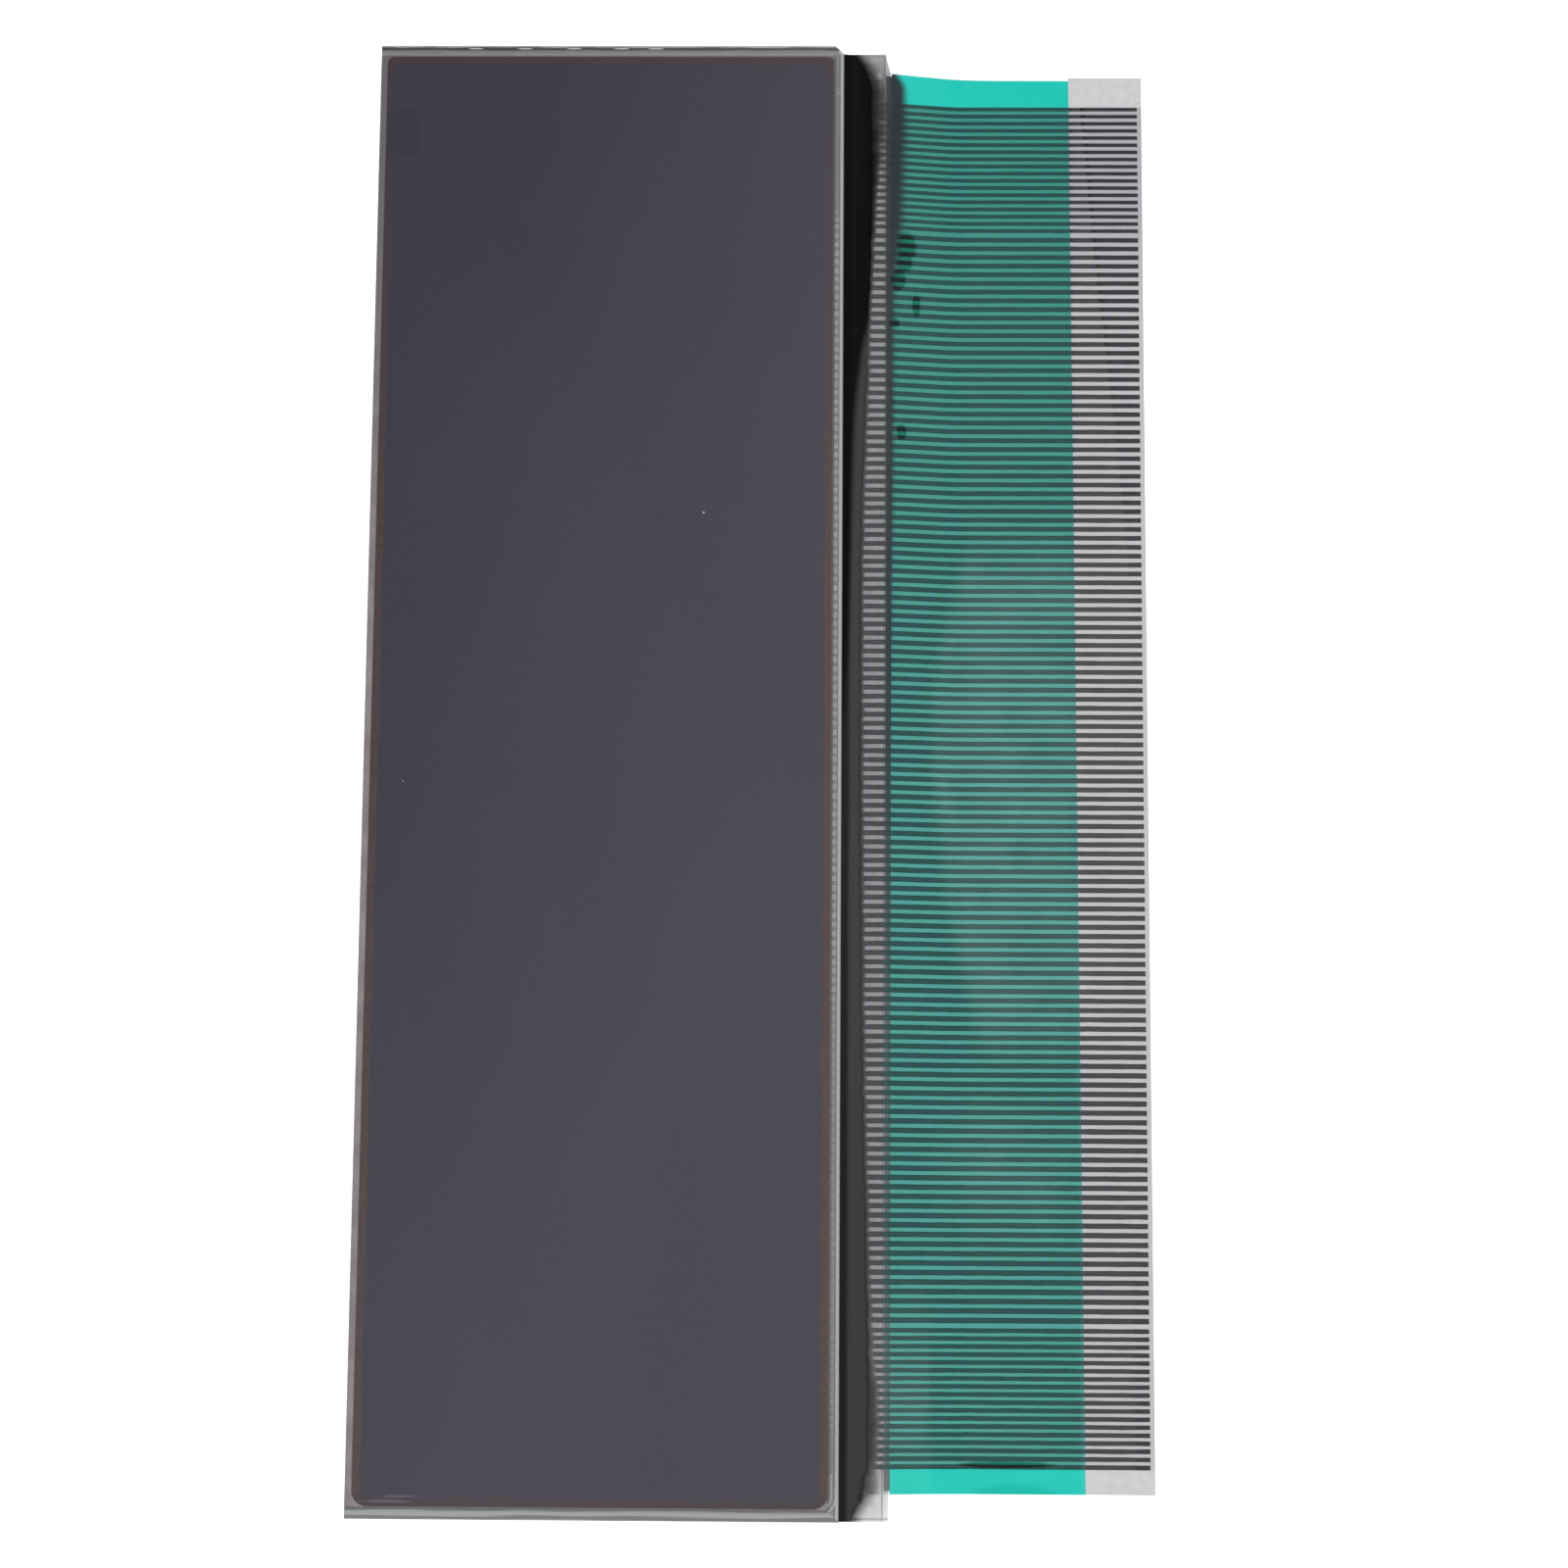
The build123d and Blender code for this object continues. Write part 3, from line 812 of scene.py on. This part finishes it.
# painted reflection: broad where the film bends towards the light, with two smaller patches
broad_sheen = times(tree, ramp_of(tree, from_left, -0.4, 0.9), ramp_of(tree, place.x, 22.5, 19.5, 0.4))
broad_sheen = times(tree, broad_sheen, window(tree, place.y, -18.0, 14.0, 3.5))
near_sheen_patch = times(tree, window(tree, place.x, 12.5, 20.0, 2.0), window(tree, place.y, -30.0, -23.0, 3.0))
corner = times(tree, ramp_of(tree, place.x, 11.6, 11.0), ramp_of(tree, place.y, -32.0, -38.0))
haze = larger(tree, broad_sheen, times(tree, near_sheen_patch, 0.6))
haze = larger(tree, haze, times(tree, corner, 0.7))
haze = times(tree, haze, plus(tree, times(tree, cloudy, 0.7), 0.45))
sides = inverse(tree, window(tree, place.x, 8.5, 20.9, 0.2))
# a painted sheen at the sides beside the green, and faint dust
dust_and_sheen = plus(tree, ramp_of(tree, place.y, 42.0, 30.0, 0.0, FAINT_DUST), times(tree, sides, SIDE_SHEEN))
dust_and_sheen = tinted(tree, plus(tree, times(tree, haze, SHEEN_TONE), dust_and_sheen))
print("haze starts at x =", min(x for y, x in SHEEN_LEFT), "to", max(x for y, x in SHEEN_LEFT), "mm")

# %% [markdown]
# The gloss of the film is a coat, and it fades where the dark resin lies under the film, for the same
# reason as on the glass. The film is never quite flat, so a low, wide bump bends its reflections.

# %% Clear film
GLOSS = [(0.0, 1.0), (0.1, 0.9), (0.25, 0.3), (0.5, 0.1), (0.8, 0.02), (1.0, 0.0)]
WAVE_HEIGHT = 0.0005

shader.inputs["Coat IOR"].default_value = 1.65
shader.inputs["Coat Roughness"].default_value = 0.06
side = is_wall(tree)
shade = resin_shade(tree, place)
clean = mix_of(tree, side, dust_and_sheen, grey(0.55))
feed(tree, shader.inputs["Base Color"], mix_of(tree, shade, clean, resin_colour_and_sheen(tree, place)))
feed(tree, shader.inputs["Coat Weight"], curve_of(tree, shade, GLOSS))
feed(tree, shader.inputs["Alpha"], larger(tree, plus(tree, times(tree, side, 0.25), 0.10), shade))
waves = add(tree, "ShaderNodeBump")
waves.inputs["Distance"].default_value = WAVE_HEIGHT
feed(tree, waves.inputs["Height"], mottle(tree, stretched(tree, place.here, 1.0, 0.4, 1.0), 0.08, 1.0))
feed(tree, shader.inputs["Normal"], waves.outputs["Normal"])
dress("flex_film", film)

# %% [markdown]
# Beside the ledge the dark resin also shows through the ribbon, as a band that fades out to the right.
# The lacquer and the ink both need it, so its reach and its fade are stated once, in a function.

# %% Resin that shows through the ribbon
THROUGH_REACH = [
    (-46.8, 0.05), (-2.0, 0.10), (10.0, 0.15), (22.0, 0.25), (30.0, 0.25), (34.2, 0.50),
    (36.8, 0.75), (38.6, 0.82), (41.0, 0.88), (43.9, 0.98), (45.7, 0.98), (46.2, 0.80),
    (46.6, 0.55), (46.9, 0.40),
]
THROUGH_FADE = [(-46.8, 0.25), (0.0, 0.32), (12.0, 0.45), (30.0, 0.55), (36.0, 0.75), (46.9, 0.6)]


def resin_mask(tree, place):
    """Where the dark resin beside the ledge shows through the ribbon."""
    past = minus(tree, place.x, LEDGE_FLAT_X + 0.1)
    beyond = minus(tree, past, curve_of(tree, place.y, THROUGH_REACH))
    beyond = math_of(tree, "DIVIDE", beyond, curve_of(tree, place.y, THROUGH_FADE))
    return ramp_of(tree, beyond, 1.0, -0.2)


print("the band reaches at most", max(v for y, v in THROUGH_REACH), "mm past the ledge")

# %% [markdown]
# The green lacquer is even at the two margins and duller between the traces. Near the ledge dark resin
# shows through it, and where the film sticks to it, it looks wet, in a few dark spots. At the far edge
# the lacquer stops a little short of the film, which is bare there. A mask says as much as a solid
# with such an uneven edge would.

# %% Green lacquer
WET_SPOTS = [
    (9.75, 34.8, 0.72, 1.05), (9.60, 33.7, 0.60, 0.7), (9.20, 32.5, 0.50, 0.8), (10.4, 30.8, 0.30, 0.8),
    (8.95, 29.5, 0.4, 0.35), (9.43, 22.1, 0.38, 0.55), (16.1, -44.93, 3.1, 0.22),
]
DEEP_SPOTS = [(16.6, -47.1, 3.0, 1.1)]

lacquer, tree, shader, place = new_material("green_coverlay", 0.3, 1.12)
wide = mottle(tree, place.here, 0.25, 3.0)
green = mix_of(tree, wide, (0.016, 0.62, 0.52), (0.022, 0.66, 0.555))
shadowed = mix_of(tree, ramp_of(tree, place.y, -5.0, 38.0), (0.094, 0.385, 0.342), (0.062, 0.305, 0.260))
green = mix_of(tree, times(tree, among_traces(tree, place), 0.97), green, shadowed)
green = mix_of(tree, times(tree, spots(tree, place, DEEP_SPOTS, 0.3), 0.7), green, (0.0, 0.53, 0.44))
green = mix_of(tree, times(tree, spots(tree, place, WET_SPOTS, 0.5), 0.95), green, (0.0, 0.185, 0.105))
band = mix_of(tree, ramp_of(tree, place.y, 12.0, -30.0), (0.026, 0.038, 0.043), (0.16, 0.165, 0.17))
green = mix_of(tree, resin_mask(tree, place), green, band)
feed(tree, shader.inputs["Base Color"], green)
bare_film = curve_of(tree, place.x, [(8.6, 0.02), (12, 0.10), (16, 0.19), (25.6, 0.20)])
from_far = minus(tree, film_high[1], place.y)
feed(tree, shader.inputs["Alpha"], ramp_of(tree, minus(tree, from_far, bare_film), -0.015, 0.015))
dress("flex_coverlay", lacquer)

# %% [markdown]
# The ribbon leaves the ledge flat, bends over its edge, slopes down and lands on the table. What is
# printed on it has to follow, so the height of the film's underside is worked out from two arcs and
# the straight slope between them. The CAD part is built from the same side view.

# %% The side view of the ribbon
FILM_THICK = 0.06
ON_LEDGE, ON_TABLE = film_high[2] - FILM_THICK, film_low[2]
FALL_ANGLE, EDGE_BEND, LANDING_BEND, BEND_BEFORE_EDGE = math.radians(11.4), 2.5, 9.0, 0.6
bend_x = rear_high[0] - BEND_BEFORE_EDGE
bend_drop = EDGE_BEND * (1 - math.cos(FALL_ANGLE))
landing_drop = LANDING_BEND * (1 - math.cos(FALL_ANGLE))
slope = (ON_LEDGE - ON_TABLE - bend_drop - landing_drop) / math.sin(FALL_ANGLE)
slope_start = bend_x + EDGE_BEND * math.sin(FALL_ANGLE)
slope_end = slope_start + slope * math.cos(FALL_ANGLE)
flat_x = slope_end + LANDING_BEND * math.sin(FALL_ANGLE)


def film_underside(x):
    """Height in mm of the underside of the film."""
    if x <= bend_x:
        return ON_LEDGE
    if x <= slope_start:
        return ON_LEDGE - EDGE_BEND + math.sqrt(EDGE_BEND**2 - (x - bend_x) ** 2)
    if x <= slope_end:
        return ON_LEDGE - bend_drop - (x - slope_start) * math.tan(FALL_ANGLE)
    if x <= flat_x:
        return ON_TABLE + LANDING_BEND - math.sqrt(LANDING_BEND**2 - (flat_x - x) ** 2)
    return ON_TABLE


print("the ribbon is flat again at x =", round(flat_x, 2), "mm")

# %% [markdown]
# The traces stand in three blocks: a wide pitch in the middle, and a fine pitch at each end. The
# length of the CAD traces says how many there are in the middle, so the row follows the part.

# %% Trace positions
FINE_COUNT, FINE_PITCH, COARSE_PITCH, BLOCK_STEP = 18, 0.5, 0.6, 0.635
FINE_WIDTH = 0.27
row = traces_high[1] - traces_low[1] - FINE_WIDTH
coarse_count = round((row - 2 * (FINE_PITCH * (FINE_COUNT - 1) + BLOCK_STEP)) / COARSE_PITCH) + 1
pitches = [FINE_PITCH] * (FINE_COUNT - 1) + [BLOCK_STEP] + [COARSE_PITCH] * (coarse_count - 1)
pitches += [BLOCK_STEP] + [FINE_PITCH] * (FINE_COUNT - 1)
centres = [traces_low[1] + FINE_WIDTH / 2]
for pitch in pitches:
    centres.append(centres[-1] + pitch)
print("traces:", len(centres), "last at", round(centres[-1], 2), "mm")

# %% [markdown]
# The traces are printed with a conductive ink, so their edges are a little wavy, and each is slightly
# different. Their edges are darker than their middle. The CAD traces are plain bars. Here each becomes
# a grid three faces wide, whose long edges a noise shifts. Its sections are close together where the
# ribbon bends, and elsewhere near enough to carry the waves.

# %% Strips of ink
EDGE_SHARE, BELOW_FILM = 0.17, 0.002
# each at the near end, and how much less it is at the far end
FINE_WIDE, COARSE_WIDE, WAVY = (0.292, 0.045), (0.350, 0.040), (0.026, 0.014)
ROWS = ((bend_x, 2), (slope_start, 5), (slope_end, 5), (flat_x, 6), (traces_high[0], 13))

stations = [traces_low[0]]
for reach, count in ROWS:
    begin = stations[-1]
    stations += [begin + (reach - begin) * (i + 1) / count for i in range(count)]
sections = len(stations) - 1
bm = bmesh.new()
for number, centre in enumerate(centres):
    fine_block = number < FINE_COUNT or number >= len(centres) - FINE_COUNT
    along = (centre - centres[0]) / (centres[-1] - centres[0])
    width, wave = [near - loss * along for near, loss in (FINE_WIDE if fine_block else COARSE_WIDE, WAVY)]
    made = bmesh.ops.create_grid(bm, x_segments=sections, y_segments=3, size=0.5)
    for vert in made["verts"]:
        x = stations[round((vert.co.x + 0.5) * sections)]
        line_number = round((vert.co.y + 0.5) * 3)
        side = -1 if line_number < 2 else 1
        edge = side * (width / 2 + wave * noise.noise(Vector((1.5 * x, 7.3 * number, 5.0 * side))))
        y = edge if line_number in (0, 3) else edge * (1 - 2 * EDGE_SHARE)
        vert.co = Vector((x, centre + y, film_underside(x) - BELOW_FILM)) * MM
print("strips:", len(centres), "with", sections, "sections each")

# %% [markdown]
# The middle band of each strip gets the second material, which is paler. Then all strips are made
# solid in one go, and the result takes the place of the CAD bars.

# %% Printed traces
CORE_REACH, PRINT_THICK = 0.07, 0.016

bm.normal_update()
for polygon in bm.faces:
    middle = polygon.calc_center_median().y / MM
    nearest = min(abs(middle - centre) for centre in centres)
    polygon.material_index = 1 if nearest < CORE_REACH else 0
bmesh.ops.solidify(bm, geom=bm.faces[:], thickness=PRINT_THICK * MM)
bmesh.ops.recalc_face_normals(bm, faces=bm.faces[:])
mesh = bpy.data.meshes.new("printed_traces")
bm.to_mesh(mesh)
bm.free()
traces = bpy.data.objects.new("printed_traces", mesh)
scene.collection.objects.link(traces)
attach(traces, "root")
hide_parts("flex_traces")
heights = sorted(vert.co.z / MM for vert in mesh.vertices)
print("printed traces:", len(mesh.polygons), "faces")
print("their heights in mm:", round(heights[0], 3), "to", round(heights[-1], 3))

# %% [markdown]
# The same ink looks different along its way: green-black where the lacquer lies behind it, and dark
# grey on the bare tail and on the ledge. Its last stretch on the tail is coated nearly black, with a
# scorched line where the coat begins. Separate strips for each stretch would leave seams, so one
# material mixes the colours in by the place along the trace.

# %% Trace ink
TAIL_EDGE = [(-46.8, 21.15), (46.9, 20.65)]
TIP_START = [(-46.8, 24.3), (10, 24.5), (18, 24.0), (35, 22.3), (46.9, 21.3)]
TIP_DARK = [(-46.8, 0.75), (-36, 0.6), (-30, 0.15), (5, 0.15), (15, 0.7), (46.9, 1.0)]
TAIL_DARK = [(-46.8, 0.0), (28, 0.0), (46.9, 0.45)]


def ink(name, on_green, on_tail, on_glass):
    material, tree, shader, place = new_material(name, 0.6, 1.1)
    speckle = mottle(tree, stretched(tree, place.here, 1.0, 3.0, 1.0), 2.2, 4.0)
    tail = ramp_of(tree, minus(tree, place.x, curve_of(tree, place.y, TAIL_EDGE)), -0.03, 0.03)
    ledge = on_ledge(tree, place)
    colour = mix_of(tree, ledge, mix_of(tree, tail, on_green, on_tail), on_glass)
    band = both(tree, resin_mask(tree, place), inverse(tree, ledge), ramp_of(tree, place.y, -22.0, 8.0))
    colour = mix_of(tree, band, colour, (0.030, 0.042, 0.047))
    tip_start = curve_of(tree, place.y, TIP_START)
    tip = ramp_of(tree, minus(tree, place.x, tip_start), -0.08, 0.08)
    tip = times(tree, tip, curve_of(tree, place.y, TIP_DARK))
    colour = mix_of(tree, tip, colour, (0.016, 0.017, 0.026))
    tail_dark = times(tree, curve_of(tree, place.y, TAIL_DARK), tail)
    colour = mix_of(tree, tail_dark, colour, (0.024, 0.025, 0.038))
    wet = times(tree, spots(tree, place, WET_SPOTS, 0.5), 0.97)
    colour = mix_of(tree, wet, colour, (0.0, 0.008, 0.008))
    off_start = minus(tree, place.x, plus(tree, tip_start, times(tree, speckle, 0.2)))
    scorch = ramp_of(tree, math_of(tree, "ABSOLUTE", off_start), 0.16, 0.07)
    scorch = times(tree, scorch, ramp_of(tree, place.y, 16.0, 34.0))
    colour = mix_of(tree, scorch, colour, (0.0, 0.0, 0.004))
    half = mix_of(tree, 0.5, colour, grey(0.0))
    feed(tree, shader.inputs["Base Color"], mix_of(tree, times(tree, speckle, 0.35), colour, half))
    traces.data.materials.append(material)
    print(name, "nodes:", len(tree.nodes))


ink("ink_edge", (0.006, 0.088, 0.082), (0.031, 0.031, 0.037), (0.032, 0.036, 0.040))
ink("ink_core", (0.028, 0.090, 0.087), (0.047, 0.046, 0.055), (0.048, 0.052, 0.058))

# %% [markdown]
# The resin in the step is glossy and nearly black. Its solid is a plain wedge, so its alpha follows
# the same creep as the shade on the glass. It fades out before the edge of the solid, which would
# otherwise show as a hard line.

# %% Dark resin in the step
OWN_EDGE = [(-48.33, 1.0), (-47.4, 1.58), (-45.9, 1.93), (45.6, 1.93), (47.0, 1.58), (47.98, 1.0)]

resin, tree, shader, place = new_material("dark_resin", 0.10, 1.12)
past = minus(tree, place.x, STEP_X)
inside = ramp_of(tree, minus(tree, past, curve_of(tree, place.y, OWN_EDGE)), -0.02, -0.30)
dense = ramp_of(tree, resin_shade(tree, place), 0.82, 1.0)
feed(tree, shader.inputs["Base Color"], resin_colour_and_sheen(tree, place))
feed(tree, shader.inputs["Alpha"], times(tree, dense, inside))
dress("step_sealant", resin)

# %% [markdown]
# A second resin fills the corner under the ribbon, along the edge of the ledge, and it is seen
# through the ribbon. It is dark, and paler in the near half, so a ramp along the plate mixes its two
# tones.

# %% Resin under the edge
edge_resin, tree, shader, place = new_material("edge_resin", 0.2, 1.4)
speckle = mottle(tree, place.here, 1.5, 4.0)
dark = mix_of(tree, speckle, (0.034, 0.037, 0.040), (0.044, 0.048, 0.052))
near_half = ramp_of(tree, place.y, 8.0, -25.0)
feed(tree, shader.inputs["Base Color"], mix_of(tree, near_half, dark, (0.150, 0.156, 0.162)))
dress("edge_sealant", edge_resin)

# %% [markdown]
# The floor is a plain pale sheet. It glows a little by itself, so the thin plates leave hardly any
# shadow on it. In a studio a sheet lit from below does the same. It is staging, so it isn't part of
# the object.

# %% Floor
FLOOR_HALF, FLOOR_GLOW = 2.0, 0.35

mesh = bpy.data.meshes.new("floor")
bm = bmesh.new()
bmesh.ops.create_grid(bm, x_segments=1, y_segments=1, size=FLOOR_HALF)
bm.to_mesh(mesh)
bm.free()
floor = bpy.data.objects.new("floor", mesh)
scene.collection.objects.link(floor)
paper, tree, shader, place = new_material("paper", 0.9)
fibre = mottle(tree, place.here, 0.5, 3.0)
feed(tree, shader.inputs["Base Color"], mix_of(tree, fibre, grey(0.90), grey(0.92)))
shader.inputs["Emission Color"].default_value = (1.0, 1.0, 1.0, 1.0)
shader.inputs["Emission Strength"].default_value = FLOOR_GLOW
floor.data.materials.append(paper)
floor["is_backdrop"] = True
print("floor is staging, and glows at", FLOOR_GLOW)

# %% [markdown]
# The frame and the looks have to agree in size. The size of the visual box is printed.

# %% Sizes for comparison
low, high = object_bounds()
print("visual box in mm:", [round(1000 * (b - a), 3) for a, b in zip(low, high)])
